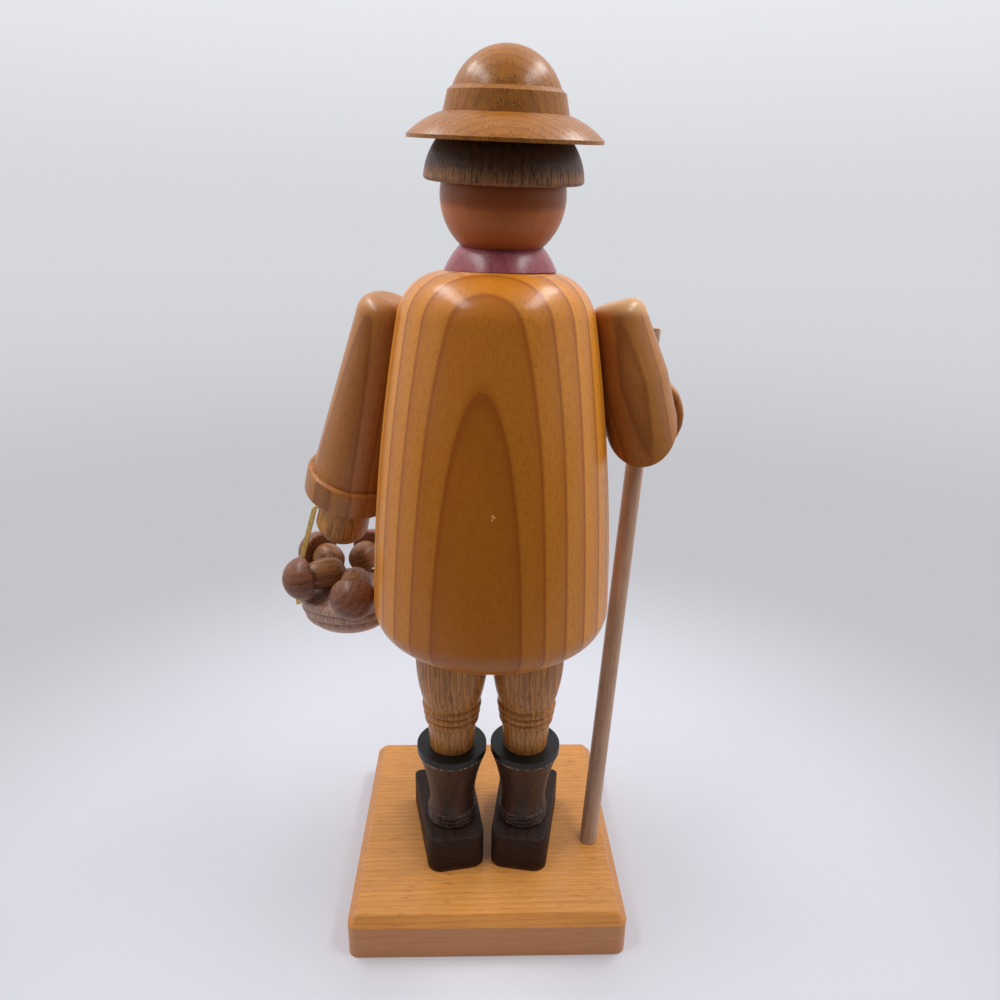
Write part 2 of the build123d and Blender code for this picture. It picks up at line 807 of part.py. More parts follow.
# Right arm: upper arm and forearm, mitred at the elbow
mitre = Plane(origin=right_elbow, z_dir=upper_arm_direction + forearm_direction)
upper_arm_lathe = lathe_plane(right_shoulder, upper_arm_direction)
upper_arm_axis = turning_axis(upper_arm_lathe)
with BuildPart() as right_upper_arm:
    with BuildSketch(upper_arm_lathe):
        with BuildLine():
            Polyline(
                (0, 0),
                (upper_arm_top_radius, 0),
                (elbow_radius, upper_arm_length - elbow_straight),
                (elbow_radius, upper_arm_length + elbow_radius * 2),
                (0, upper_arm_length + elbow_radius * 2),
                close=True,
            )
        make_face()
    revolve(axis=upper_arm_axis)
    shoulder_rim = right_upper_arm.edges().filter_by(GeomType.CIRCLE).sort_by(upper_arm_axis)[0]
    fillet(shoulder_rim, upper_arm_top_rounding)
    split(bisect_by=mitre, keep=Keep.BOTTOM)
    add(arm_jig.part, mode=Mode.SUBTRACT)
    add(right_dowel_hole, mode=Mode.SUBTRACT)
save(right_upper_arm, "right_upper_arm")

forearm_lathe = lathe_plane(right_elbow, forearm_direction)
forearm_axis = turning_axis(forearm_lathe)
with BuildPart() as right_forearm:
    with BuildSketch(forearm_lathe):
        with BuildLine():
            Polyline(
                (0, -elbow_radius * 2),
                (elbow_radius, -elbow_radius * 2),
                (elbow_radius, forearm_length - forearm_cuff_length),
                (forearm_cuff_radius, forearm_length - forearm_cuff_length),
                (forearm_cuff_radius, forearm_length),
                (0, forearm_length),
                close=True,
            )
        make_face()
    revolve(axis=forearm_axis)
    cuff_edges = right_forearm.edges().filter_by(GeomType.CIRCLE).sort_by(forearm_axis)[-3:]
    fillet(cuff_edges.sort_by(SortBy.RADIUS)[-2:], cuff_rounding)
    split(bisect_by=mitre, keep=Keep.TOP)
    with BuildSketch(Plane(origin=right_wrist, z_dir=forearm_direction)):
        Circle(hand_tenon_radius + glue_gap)
    extrude(amount=-hand_tenon_length - rest_gap, mode=Mode.SUBTRACT)
save(right_forearm, "right_forearm")

# Right hand: a ball on a wrist peg, drilled for the walking stick
fist_lathe = lathe_plane(right_wrist, forearm_direction)
fist_out = fist_reach - forearm_length
fist_dome = dome_middle(fist_radius, fist_radius)
with BuildPart() as right_hand:
    with BuildSketch(fist_lathe):
        with BuildLine():
            Polyline(
                (0, fist_out + fist_radius),
                (0, -hand_tenon_length),
                (hand_tenon_radius, -hand_tenon_length),
                (hand_tenon_radius, 0),
                (fist_radius, 0),
                (fist_radius, fist_out),
            )
            ThreePointArc(
                (fist_radius, fist_out), (fist_dome[0], fist_out + fist_dome[1]), (0, fist_out + fist_radius)
            )
        make_face()
    revolve(axis=turning_axis(fist_lathe))
    with BuildSketch(Plane(origin=fist_centre, z_dir=stick_direction)):
        Circle(stick_radius + glue_gap)
    extrude(amount=fist_radius * 3, both=True, mode=Mode.SUBTRACT)
save(right_hand, "right_hand")

# Shoulder dowels
for line, word in ((left_dowel_line, "left"), (right_dowel_line, "right")):
    save(make_shoulder_rod(line, 0, 0), f"{word}_shoulder_dowel")

# Walking stick: a plain round rod through the fist, its foot cut level on the stand
with BuildPart() as walking_stick:
    with BuildSketch(Plane(origin=stick_foot - stick_direction * stick_radius, z_dir=stick_direction)):
        Circle(stick_radius)
    extrude(amount=stick_length + stick_radius)
    stick_end = walking_stick.edges().filter_by(GeomType.CIRCLE).sort_by(Axis.Z)[-1]
    chamfer(stick_end, stick_chamfer)
    split(bisect_by=Plane.XY.offset(stand_thickness + rest_gap), keep=Keep.TOP)
save(walking_stick, "walking_stick")

# Basket: turned with ringed sides and a domed filling, hung from the left hand by a bent strip
basket_rim = grip.Z - handle_rise
basket_foot = basket_rim - basket_height
basket_lathe = lathe_plane((grip.X, grip.Y, basket_foot), (0, 0, 1))


def basket_side(height):
    """Radius of the basket's side, a quarter ellipse from foot to rim."""
    share = height / basket_height
    return basket_foot_radius + (basket_rim_radius - basket_foot_radius) * sqrt(1 - (1 - share) ** 2)


bead_pitch = basket_height / basket_bead_count
fill_radius = basket_rim_radius - basket_rim_width
fill_foot = basket_height - basket_fill_drop
fill_dome = dome_middle(fill_radius, basket_fill_rise)
with BuildPart() as basket_bowl:
    with BuildSketch(basket_lathe):
        with BuildLine():
            for bead in range(basket_bead_count):
                low = bead * bead_pitch
                high = low + bead_pitch
                middle = (low + high) / 2
                ThreePointArc(
                    (basket_side(low), low),
                    ((basket_side(low) + basket_side(high)) / 2 + basket_bead_bulge, middle),
                    (basket_side(high), high),
                )
            Polyline(
                (basket_rim_radius, basket_height),
                (fill_radius, basket_height),
                (fill_radius, fill_foot),
            )
            ThreePointArc(
                (fill_radius, fill_foot),
                (fill_dome[0], fill_foot + fill_dome[1]),
                (0, fill_foot + basket_fill_rise),
            )
            Polyline((0, fill_foot + basket_fill_rise), (0, 0), (basket_foot_radius, 0))
        make_face()
    revolve(axis=turning_axis(basket_lathe))
save(basket_bowl, "basket_bowl")

# Handle: a flat strip bent over the hand and glued to the outside of the bowl
handle_half = basket_rim_radius + basket_bead_bulge + handle_thickness / 2 + rest_gap
handle_shoulder = hand_radius + handle_beyond_hand
handle_front = Plane(origin=(grip.X, grip.Y, basket_rim), x_dir=(1, 0, 0), z_dir=(0, -1, 0))
with BuildPart() as basket_handle:
    with BuildSketch(handle_front):
        with BuildLine():
            FilletPolyline(
                (-handle_half, -handle_foot),
                (-handle_half, handle_knee),
                (-handle_shoulder, handle_rise),
                (handle_shoulder, handle_rise),
                (handle_half, handle_knee),
                (handle_half, -handle_foot),
                radius=[handle_knee_radius, handle_corner_radius, handle_corner_radius, handle_knee_radius],
            )
        trace(line_width=handle_thickness)
    extrude(amount=handle_width / 2, both=True)
save(basket_handle, "basket_handle")


fill_ball = (fill_radius**2 + basket_fill_rise**2) / (2 * basket_fill_rise)


def fill_height(out):
    """Height of the filling's dome at a distance from the basket's axis."""
    return basket_foot + fill_foot + basket_fill_rise - fill_ball + sqrt(fill_ball**2 - out**2)


def fill_lean(out):
    """Angle of the dome's surface there, from level."""
    return atan2(out, sqrt(fill_ball**2 - out**2))


def make_mushroom(bearing, reach, heading, dip, stalk_share):
    """Stalk and cap of one mushroom, its stalk lying on the filling and its cap out over the rim.

    Bearing and reach place the underside of the cap about the basket's axis, heading is the way that the cap
    points, dip is how far it points down, and stalk_share shortens the stalk.
    """
    drop = radians(dip)
    flat = Vector(cos(radians(heading)), sin(radians(heading)), 0)
    along = flat * cos(drop) - Vector(0, 0, sin(drop))
    length = stalk_length * stalk_share
    bulb_height = stalk_bulb_height * stalk_share
    cap_place = Vector(reach * cos(radians(bearing)), reach * sin(radians(bearing)), 0)
    levels = []
    for height, radius in ((bulb_height, stalk_bulb_radius), (stalk_end_height, stalk_end_radius)):
        below = length - height
        out = (cap_place - flat * below * cos(drop)).length
        lean = fill_lean(out)
        levels.append(fill_height(out) + (radius + rest_gap) / cos(lean) - below * sin(drop))
    under_cap = Vector(grip.X + cap_place.X, grip.Y + cap_place.Y, max(levels))
    cap_dome = dome_middle(cap_radius, cap_height - cap_edge)
    end_dome = dome_middle(stalk_end_radius, stalk_end_height)
    edge_turn = cap_edge * (1 - cos(radians(45)))
    socket = stalk_in_cap + rest_gap
    stalk_lathe = lathe_plane(under_cap - along * length, along)
    cap_lathe = lathe_plane(under_cap, along)
    with BuildPart() as stalk:
        with BuildSketch(stalk_lathe):
            with BuildLine():
                Polyline(
                    (0, 0),
                    (0, length + stalk_in_cap),
                    (stalk_neck_radius, length + stalk_in_cap),
                    (stalk_neck_radius, length),
                )
                ThreePointArc(
                    (stalk_neck_radius, length),
                    (stalk_bulb_radius, bulb_height),
                    (stalk_end_radius, stalk_end_height),
                )
                ThreePointArc(
                    (stalk_end_radius, stalk_end_height), (end_dome[0], stalk_end_height - end_dome[1]), (0, 0)
                )
            make_face()
        revolve(axis=turning_axis(stalk_lathe))
    with BuildPart() as cap:
        with BuildSketch(cap_lathe):
            with BuildLine():
                Polyline(
                    (0, cap_height),
                    (0, socket),
                    (stalk_neck_radius + glue_gap, socket),
                    (stalk_neck_radius + glue_gap, 0),
                    (cap_radius - cap_edge, 0),
                )
                ThreePointArc(
                    (cap_radius - cap_edge, 0), (cap_radius - edge_turn, edge_turn), (cap_radius, cap_edge)
                )
                ThreePointArc((cap_radius, cap_edge), (cap_dome[0], cap_edge + cap_dome[1]), (0, cap_height))
            make_face()
        revolve(axis=turning_axis(cap_lathe))
    return stalk, cap


# Bearing and reach of the cap, heading, dip and share of the stalk's length, round the basket from the near left
mushrooms = (
    (33.0, 15.4, 33.0, 1.0, 1.0),
    (102.5, 18.6, 92.0, 7.0, 1.0),
    (250.0, 15.8, 250.0, -4.0, 0.85),
    (316.0, 17.0, 318.0, -10.0, 0.8),
)
for number, place in enumerate(mushrooms, start=1):
    stalk, cap = make_mushroom(*place)
    save(stalk, f"mushroom_{number}_stalk")
    save(cap, f"mushroom_{number}_cap")
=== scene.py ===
from math import cos, radians, sin, sqrt

import bpy
from mathutils import Matrix, Vector


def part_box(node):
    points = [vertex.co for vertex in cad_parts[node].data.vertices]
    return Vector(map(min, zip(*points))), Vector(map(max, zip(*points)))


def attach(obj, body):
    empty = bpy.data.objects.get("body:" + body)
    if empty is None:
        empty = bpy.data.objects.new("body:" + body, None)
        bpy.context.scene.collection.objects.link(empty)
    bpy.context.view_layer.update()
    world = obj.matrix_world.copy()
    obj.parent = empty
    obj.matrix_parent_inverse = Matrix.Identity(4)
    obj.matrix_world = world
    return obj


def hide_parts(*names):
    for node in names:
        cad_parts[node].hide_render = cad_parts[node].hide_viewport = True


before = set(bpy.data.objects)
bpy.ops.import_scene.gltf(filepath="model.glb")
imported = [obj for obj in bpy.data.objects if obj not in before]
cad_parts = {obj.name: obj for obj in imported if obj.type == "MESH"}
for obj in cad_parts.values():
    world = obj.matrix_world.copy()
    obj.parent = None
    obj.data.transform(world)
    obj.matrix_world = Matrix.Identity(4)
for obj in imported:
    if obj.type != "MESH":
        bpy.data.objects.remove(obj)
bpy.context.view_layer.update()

# Base plate
# A square of pale hardwood, planed, chamfered round the top and lacquered clear.
# Its grain runs from side to side in fine straight lines, and its sawn edges took more of the stain.


def tone(red, green, blue):
    """A colour given as it looks on a screen, from 0 to 255, in the shader's linear values."""
    shares = [part / 255 for part in (red, green, blue)]
    return [s / 12.92 if s < 0.04045 else ((s + 0.055) / 1.055) ** 2.4 for s in shares] + [1.0]


def maths(tree, operation, *values):
    """One step of arithmetic on sockets and plain numbers."""
    step = tree.nodes.new("ShaderNodeMath")
    step.operation = operation
    for socket, value in zip(step.inputs, values):
        if isinstance(value, (int, float)):
            socket.default_value = value
        else:
            tree.links.new(value, socket)
    return step.outputs[0]


def vector_maths(tree, operation, vector, *fixed):
    """One step of vector arithmetic on a socket; the other operands are fixed vectors or sockets."""
    step = tree.nodes.new("ShaderNodeVectorMath")
    step.operation = operation
    tree.links.new(vector, step.inputs[0])
    for socket, value in zip(step.inputs[1:], fixed):
        if isinstance(value, (tuple, Vector)):
            socket.default_value = value
        else:
            tree.links.new(value, socket)
    return step.outputs["Value"] if operation in ("LENGTH", "DOT_PRODUCT") else step.outputs["Vector"]


def stretched_noise(tree, place, across, along, detail=2.0, roughness=0.5):
    """Noise with so many waves per millimetre across the grain and along it."""
    noise = tree.nodes.new("ShaderNodeTexNoise")
    noise.inputs["Scale"].default_value = 1.0
    noise.inputs["Detail"].default_value = detail
    noise.inputs["Roughness"].default_value = roughness
    squeezed = vector_maths(tree, "MULTIPLY", place, (across, across, along))
    tree.links.new(squeezed, noise.inputs["Vector"])
    return noise


def mix_tones(tree, share, first, second):
    """Two colours mixed by a share; each is a socket or a fixed tone."""
    mix = tree.nodes.new("ShaderNodeMix")
    mix.data_type = "RGBA"
    for socket, value in ((mix.inputs[0], share), (mix.inputs[6], first), (mix.inputs[7], second)):
        if isinstance(value, list):
            socket.default_value = value
        else:
            tree.links.new(value, socket)
    return mix.outputs[2]


def ramp_between(tree, value, low, high):
    """A smooth step from 0 to 1 as a value goes from low to high."""
    step = tree.nodes.new("ShaderNodeMapRange")
    step.interpolation_type = "SMOOTHSTEP"
    step.inputs["From Min"].default_value = low
    step.inputs["From Max"].default_value = high
    tree.links.new(value, step.inputs["Value"])
    return step.outputs["Result"]


def millimetres_from(tree, centre, turn=(0, 0, 0)):
    """The place on a piece in millimetres from a centre, along axes that may be turned."""
    where = tree.nodes.new("ShaderNodeTexCoord")
    mapping = tree.nodes.new("ShaderNodeMapping")
    mapping.vector_type = "TEXTURE"
    mapping.inputs["Location"].default_value = centre
    mapping.inputs["Rotation"].default_value = turn
    mapping.inputs["Scale"].default_value = (0.001, 0.001, 0.001)
    tree.links.new(where.outputs["Object"], mapping.inputs["Vector"])
    return mapping.outputs["Vector"]


def turned_wood(
    name,
    pale,
    dark,
    pith,
    grain,
    ring_width,
    ring_start=0.0,
    first_ring=0.0,
    wander=0.5,
    ring_change=0.08,
    mottle=0.12,
    fibre=0.12,
    fibre_across=1.1,
    pore=0.0,
    pore_tone=(40, 24, 14),
    pore_across=1.8,
    pore_along=0.5,
    pore_cover=0.56,
    pore_rows=0.0,
    roughness=0.42,
    lacquer=0.5,
    lacquer_roughness=0.2,
    shine=1.0,
):
    """Solid wood with growth rings round a pith line, and fibres and pores along the grain, lacquered.

    Pith is a point on that line in metres. Ring widths and wander are in millimetres, and fibres and
    pores are in waves per millimetre. Each ring darkens outwards to a thin line of late wood, and
    pore_rows crowds the pores into its early wood."""
    season_marks = (0.0, 0.09, 0.5, 0.84, 0.95)
    late_wood_shares = (0.6, 0.0, 0.25, 0.55, 1.0)
    sway_across = 0.05
    sway_along = 0.012
    fibre_along = 0.05
    cloud_across = 0.16
    cloud_along = 0.05
    pore_edge = 0.08
    pore_depth = 1.5
    pore_dullness = 0.2
    polish_spread = 0.16
    bare_gloss = 0.5
    gloss_under_lacquer = 0.1
    material = bpy.data.materials.new(name)
    material.use_nodes = True
    tree = material.node_tree
    shader = tree.nodes["Principled BSDF"]
    place = millimetres_from(tree, pith, Vector(grain).to_track_quat("Z", "Y").to_euler())

    sway = stretched_noise(tree, place, sway_across, sway_along, detail=1.0).outputs["Color"]
    centred = vector_maths(tree, "SUBTRACT", sway, (0.5, 0.5, 0.5))
    swayed = vector_maths(tree, "MULTIPLY_ADD", centred, (2 * wander, 2 * wander, 0.0), place)
    distance = vector_maths(tree, "LENGTH", vector_maths(tree, "MULTIPLY", swayed, (1.0, 1.0, 0.0)))
    years = maths(tree, "MULTIPLY_ADD", distance, 1 / ring_width, -ring_start)
    years = maths(tree, "MAXIMUM", years, first_ring)
    rings = tree.nodes.new("ShaderNodeValToRGB")
    rings.color_ramp.elements[1].position = season_marks[-1]
    for position in season_marks[1:-1]:
        rings.color_ramp.elements.new(position)
    for mark, share in zip(rings.color_ramp.elements, late_wood_shares):
        mark.color = [(1 - share) * p + share * d for p, d in zip(tone(*pale), tone(*dark))]
    season = maths(tree, "FRACT", years)
    tree.links.new(season, rings.inputs["Fac"])

    yearly = tree.nodes.new("ShaderNodeTexWhiteNoise")
    yearly.noise_dimensions = "1D"
    tree.links.new(maths(tree, "FLOOR", years), yearly.inputs["W"])
    threads = stretched_noise(tree, place, fibre_across, fibre_along, detail=4.0, roughness=0.62)
    fibres = threads.outputs["Fac"]
    clouds = stretched_noise(tree, place, cloud_across, cloud_along, detail=2.0).outputs["Fac"]
    change = maths(tree, "MULTIPLY_ADD", yearly.outputs["Value"], ring_change, 1 - ring_change / 2)
    change = maths(tree, "MULTIPLY_ADD", maths(tree, "SUBTRACT", clouds, 0.5), 2 * mottle, change)
    brightness = maths(tree, "MULTIPLY_ADD", maths(tree, "SUBTRACT", fibres, 0.5), 4 * fibre, change)
    grained = tree.nodes.new("ShaderNodeHueSaturation")
    tree.links.new(brightness, grained.inputs["Value"])
    tree.links.new(rings.outputs["Color"], grained.inputs["Color"])
    colour = grained.outputs["Color"]
    height = fibres
    polish = maths(tree, "MULTIPLY_ADD", fibres, polish_spread, roughness - polish_spread / 2)
    if pore > 0:
        specks = stretched_noise(tree, place, pore_across, pore_along, detail=2.0).outputs["Fac"]
        crowding = maths(tree, "MULTIPLY_ADD", season, -pore_rows, pore_rows / 2)
        specks = maths(tree, "ADD", specks, crowding)
        open_pores = ramp_between(tree, specks, pore_cover, pore_cover + pore_edge)
        pores = maths(tree, "MULTIPLY", open_pores, pore)
        colour = mix_tones(tree, pores, colour, tone(*pore_tone))
        height = maths(tree, "MULTIPLY_ADD", pores, -pore_depth, fibres)
        polish = maths(tree, "MULTIPLY_ADD", pores, pore_dullness, polish)
    relief = tree.nodes.new("ShaderNodeBump")
    relief.inputs["Strength"].default_value = 0.3
    relief.inputs["Distance"].default_value = 0.0001
    tree.links.new(height, relief.inputs["Height"])
    tree.links.new(colour, shader.inputs["Base Color"])
    tree.links.new(polish, shader.inputs["Roughness"])
    tree.links.new(relief.outputs["Normal"], shader.inputs["Normal"])
    lacquered = min(1.0, 2 * lacquer)
    gloss = bare_gloss - (bare_gloss - gloss_under_lacquer) * lacquered
    shader.inputs["Specular IOR Level"].default_value = shine * gloss
    shader.inputs["Coat Weight"].default_value = lacquer
    shader.inputs["Coat Roughness"].default_value = lacquer_roughness
    return material


def along_line(material, start, direction):
    """How far a place on a piece lies along a direction from a start, in millimetres."""
    tree = material.node_tree
    line = Vector(direction).normalized()
    return vector_maths(tree, "DOT_PRODUCT", millimetres_from(tree, start), line)


def paint_over(material, share, paint, strength=1.0):
    """Lays a colour over what a material has so far, by a share from 0 to 1 times a strength."""
    tree = material.node_tree
    if strength < 1:
        share = maths(tree, "MULTIPLY", share, strength)
    base = tree.nodes["Principled BSDF"].inputs["Base Color"]
    below = base.links[0].from_socket
    tree.links.new(mix_tones(tree, share, below, tone(*paint)), base)


def dress(material, *names):
    """Gives CAD nodes their finish."""
    for name in names:
        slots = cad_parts[name].data.materials
        slots.clear()
        slots.append(material)


up = Vector((0, 0, 1))
plate_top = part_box("base_plate")[1].z
plate_chamfer = 3.0
chamfer_stain = (168, 100, 54)
edge_stain = (188, 126, 88)
plate_wood = turned_wood(
    "plate_wood",
    pale=(208, 143, 71),
    dark=(195, 128, 60),
    pith=(0.0, 0.25, -0.12),
    grain=(1, 0.02, 0),
    ring_width=1.7,
    wander=1.2,
    ring_change=0.06,
    mottle=0.1,
    fibre=0.13,
    fibre_across=0.9,
    pore=0.4,
    pore_tone=(168, 98, 48),
    pore_across=1.2,
    pore_along=0.16,
    pore_cover=0.57,
    roughness=0.45,
    lacquer=0.3,
    lacquer_roughness=0.24,
)
plate_tree = plate_wood.node_tree
below_top = along_line(plate_wood, (0, 0, plate_top), -up)
paint_over(plate_wood, ramp_between(plate_tree, below_top, low=0.2, high=0.6), chamfer_stain, strength=0.3)
edge_share = ramp_between(plate_tree, below_top, plate_chamfer - 0.1, plate_chamfer + 0.4)
paint_over(plate_wood, edge_share, edge_stain, strength=0.5)
dress(plate_wood, "base_plate")

# Shoes, boots and legs
# Flat sawn shoes and turned boot shafts, stained dark brown, stand on the plate on hidden dowels.
# The boot tops are painted matt black and chipped at the edge, and the legs are light walnut.


def fade(tree, value, low, high):
    """A smooth step from 1 to 0 as a value goes from low to high."""
    return maths(tree, "SUBTRACT", 1.0, ramp_between(tree, value, low, high))


def blotches(tree, centre, fineness, detail):
    """Round patches of noise about a centre, with so many waves per millimetre."""
    place = millimetres_from(tree, centre)
    return stretched_noise(tree, place, fineness, fineness, detail=detail).outputs["Fac"]


hidden_wood = turned_wood(
    "hidden_wood",
    pale=(212, 180, 134),
    dark=(190, 150, 102),
    pith=(0.02, 0.03, 0.0),
    grain=up,
    ring_width=1.8,
    lacquer=0.0,
    roughness=0.6,
)
boot_rim = 2.4
ankle_rings = 5.1
sole_raggedness = 4.0
rubbed_brown = (104, 62, 42)
dust_grey = (122, 100, 84)
rim_black = (19, 17, 16)
bare_chip = (178, 152, 122)
for side in ("left", "right"):
    shoe_low, shoe_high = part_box(f"{side}_shoe")
    boot_low, boot_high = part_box(f"{side}_boot")
    boot_axis = (boot_low + boot_high) / 2
    shoe_stain = turned_wood(
        f"{side}_shoe_stain",
        pale=(52, 35, 28),
        dark=(37, 25, 20),
        pith=(shoe_low.x, shoe_high.y, 0.05),
        grain=(0, 1, 0),
        ring_width=2.0,
        fibre=0.25,
        pore=0.3,
        pore_tone=(30, 19, 14),
        roughness=0.55,
        lacquer=0.0,
        shine=0.35,
    )
    shoe_tree = shoe_stain.node_tree
    sole_height = along_line(shoe_stain, (0, 0, shoe_low.z), up)
    rubbed = blotches(shoe_tree, shoe_low, fineness=0.5, detail=3.0)
    rubbed_height = maths(shoe_tree, "MULTIPLY_ADD", rubbed, sole_raggedness, sole_height)
    paint_over(shoe_stain, fade(shoe_tree, rubbed_height, low=2.2, high=3.6), rubbed_brown, strength=0.5)

    boot_stain = turned_wood(
        f"{side}_boot_stain",
        pale=(66, 41, 30),
        dark=(46, 28, 21),
        pith=(boot_axis.x + 0.004, boot_axis.y + 0.022, 0.0),
        grain=up,
        ring_width=5.0,
        fibre=0.3,
        pore=0.5,
        pore_tone=(34, 22, 17),
        roughness=0.42,
        lacquer=0.18,
        lacquer_roughness=0.28,
        shine=0.7,
    )
    boot_tree = boot_stain.node_tree
    dust = blotches(boot_tree, boot_axis, fineness=0.9, detail=3.0)
    above_boot_foot = along_line(boot_stain, (0, 0, boot_low.z), up)
    ankle_share = fade(boot_tree, above_boot_foot, ankle_rings, ankle_rings + 1)
    flecks = ramp_between(boot_tree, dust, low=0.56, high=0.68)
    ankle_flecks = maths(boot_tree, "MULTIPLY", ankle_share, flecks)
    paint_over(boot_stain, ankle_flecks, dust_grey, strength=0.55)
    below_rim = along_line(boot_stain, (0, 0, boot_high.z - boot_rim / 1000), -up)
    paint_over(boot_stain, fade(boot_tree, below_rim, low=-0.15, high=0.15), rim_black)
    chip_top = ramp_between(boot_tree, below_rim, low=-0.25, high=-0.05)
    chip_line = maths(boot_tree, "MULTIPLY", chip_top, fade(boot_tree, below_rim, low=0.3, high=0.55))
    chips = maths(boot_tree, "MULTIPLY", chip_line, ramp_between(boot_tree, dust, low=0.46, high=0.56))
    paint_over(boot_stain, chips, bare_chip, strength=0.75)

    leg_wood = turned_wood(
        f"{side}_leg_wood",
        pale=(191, 125, 57),
        dark=(148, 92, 41),
        pith=(boot_axis.x + 0.07, boot_axis.y - 0.02, 0.0),
        grain=up,
        ring_width=1.6,
        ring_change=0.14,
        fibre=0.3,
        fibre_across=1.2,
        pore=0.6,
        pore_tone=(98, 60, 28),
        pore_across=2.0,
        pore_along=0.14,
        roughness=0.45,
        lacquer=0.3,
        lacquer_roughness=0.24,
    )
    dress(shoe_stain, f"{side}_shoe")
    dress(boot_stain, f"{side}_boot")
    dress(leg_wood, f"{side}_leg")
    dress(hidden_wood, f"{side}_boot_dowel", f"{side}_shoulder_dowel")

# Plug and dish
# A plain turned plug on the legs, on which the coat sits, and a pressed tin saucer let into its top.
# The saucer is browned by resin and soot in the middle, where the cones burn.
dress(hidden_wood, "trunk_plug")
soot = tone(58, 42, 30)
bare_tin = tone(188, 184, 172)
soot_roughness = 0.75
tin_roughness = 0.35
soot_raggedness = 9.0
dish_tin = bpy.data.materials.new("dish_tin")
dish_tin.use_nodes = True
dish_low, dish_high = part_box("cone_dish")
dish_middle = (dish_low + dish_high) / 2
tin_tree = dish_tin.node_tree
smuts = blotches(tin_tree, dish_middle, fineness=0.5, detail=4.0)
dish_reach = vector_maths(tin_tree, "LENGTH", millimetres_from(tin_tree, dish_middle))
ragged_reach = maths(tin_tree, "MULTIPLY_ADD", smuts, soot_raggedness, dish_reach)
clean_share = ramp_between(tin_tree, ragged_reach, low=8.0, high=15.0)
dish_polish = maths(tin_tree, "MULTIPLY_ADD", clean_share, tin_roughness - soot_roughness, soot_roughness)
tin_shader = tin_tree.nodes["Principled BSDF"]
tin_tree.links.new(mix_tones(tin_tree, clean_share, soot, bare_tin), tin_shader.inputs["Base Color"])
tin_tree.links.new(dish_polish, tin_shader.inputs["Roughness"])
tin_tree.links.new(clean_share, tin_shader.inputs["Metallic"])
dress(dish_tin, "cone_dish")

# Coat
# One large hollow turning in honey-coloured wood under an amber lacquer, with a small nick in its back.
# The pith of its blank lay behind the back, so wide growth rings cross the back as nested arches.
coat_low, coat_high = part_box("coat")
coat_axis = (coat_low + coat_high) / 2
coat_pith = Vector((coat_axis.x + 0.0064, coat_axis.y + 0.0418, coat_low.z))
coat_grain = Vector((-0.006, 0.04, 1)).normalized()
heart_brown = (146, 70, 8)
hem_reflection_honey = (234, 172, 100)
bare_nick = (236, 186, 110)
nick_raggedness = 3.0
coat_wood = turned_wood(
    "coat_wood",
    pale=(221, 141, 38),
    dark=(170, 95, 18),
    pith=coat_pith,
    grain=coat_grain,
    ring_width=7.04,
    ring_start=0.15,
    first_ring=1.3,
    wander=0.35,
    ring_change=0.05,
    mottle=0.05,
    fibre=0.05,
    pore=0.22,
    pore_tone=(150, 80, 18),
    pore_across=1.5,
    pore_along=0.7,
    pore_cover=0.52,
    roughness=0.42,
    lacquer=0.38,
    lacquer_roughness=0.2,
)
coat_tree = coat_wood.node_tree
from_pith = millimetres_from(coat_tree, coat_pith, coat_grain.to_track_quat("Z", "Y").to_euler())
off_pith = vector_maths(coat_tree, "MULTIPLY", from_pith, (1.0, 1.0, 0.0))
heart_reach = vector_maths(coat_tree, "LENGTH", off_pith)
paint_over(coat_wood, fade(coat_tree, heart_reach, low=8.0, high=40.0), heart_brown, strength=0.6)
# Painted reflection: a paler honey band along the hem stands for the floor mirrored in the lacquer.
above_hem = along_line(coat_wood, (0, 0, coat_low.z), up)
paint_over(coat_wood, fade(coat_tree, above_hem, low=0.8, high=3.4), hem_reflection_honey, strength=0.5)
nick_place = Vector((0.001, coat_axis.y + 0.0345, 0.1513))
nick_reach = vector_maths(coat_tree, "LENGTH", millimetres_from(coat_tree, nick_place))
nick_grit = blotches(coat_tree, nick_place, fineness=1.6, detail=2.0)
ragged_nick = maths(coat_tree, "MULTIPLY_ADD", nick_grit, nick_raggedness, nick_reach)
paint_over(coat_wood, fade(coat_tree, ragged_nick, low=1.7, high=2.2), bare_nick)
button_wood = turned_wood(
    "button_wood",
    pale=(70, 44, 30),
    dark=(50, 30, 20),
    pith=(0.01, 0.0, 0.0),
    grain=(0, 1, 0),
    ring_width=1.2,
    lacquer=0.5,
)
dress(coat_wood, "coat")
dress(button_wood, "coat_buttons")

# Scarf, head and nose
# A turned ring stained wine red carries the ball of the head, which is stained to a warm skin tone.
# The nose is a peg in the same stain, and eyes, brows and cheeks are painted on round the smoke hole.
head_tilt = radians(0.8)
head_nod = radians(7)
head_rise = 0.019
head_up = Vector((-sin(head_tilt), sin(head_nod), cos(head_nod))).normalized()
face_ahead = Vector((1, 0, 0)).cross(head_up).normalized()
face_aside = head_up.cross(face_ahead)
neck_seat = Vector((coat_axis.x - 0.0009, coat_axis.y, coat_high.z))
head_centre = neck_seat + head_rise * head_up
head_radius = 16.7


def on_face(aside, above):
    """A point on the ball of the head, in metres, from millimetres aside of and above its middle."""
    ahead = sqrt(head_radius**2 - aside**2 - above**2)
    return head_centre + (aside * face_aside + above * head_up + ahead * face_ahead) / 1000


def spot_share(material, centre, radii, turn=0.0, soft=0.15):
    """A share of 1 inside an oval of so many millimetres, which may be turned to either side."""
    tree = material.node_tree
    place = millimetres_from(tree, centre, (0, turn, 0))
    stretch = tuple(1 / radius for radius in radii)
    reach = vector_maths(tree, "LENGTH", vector_maths(tree, "MULTIPLY", place, stretch))
    return fade(tree, reach, 1 - soft, 1 + soft)


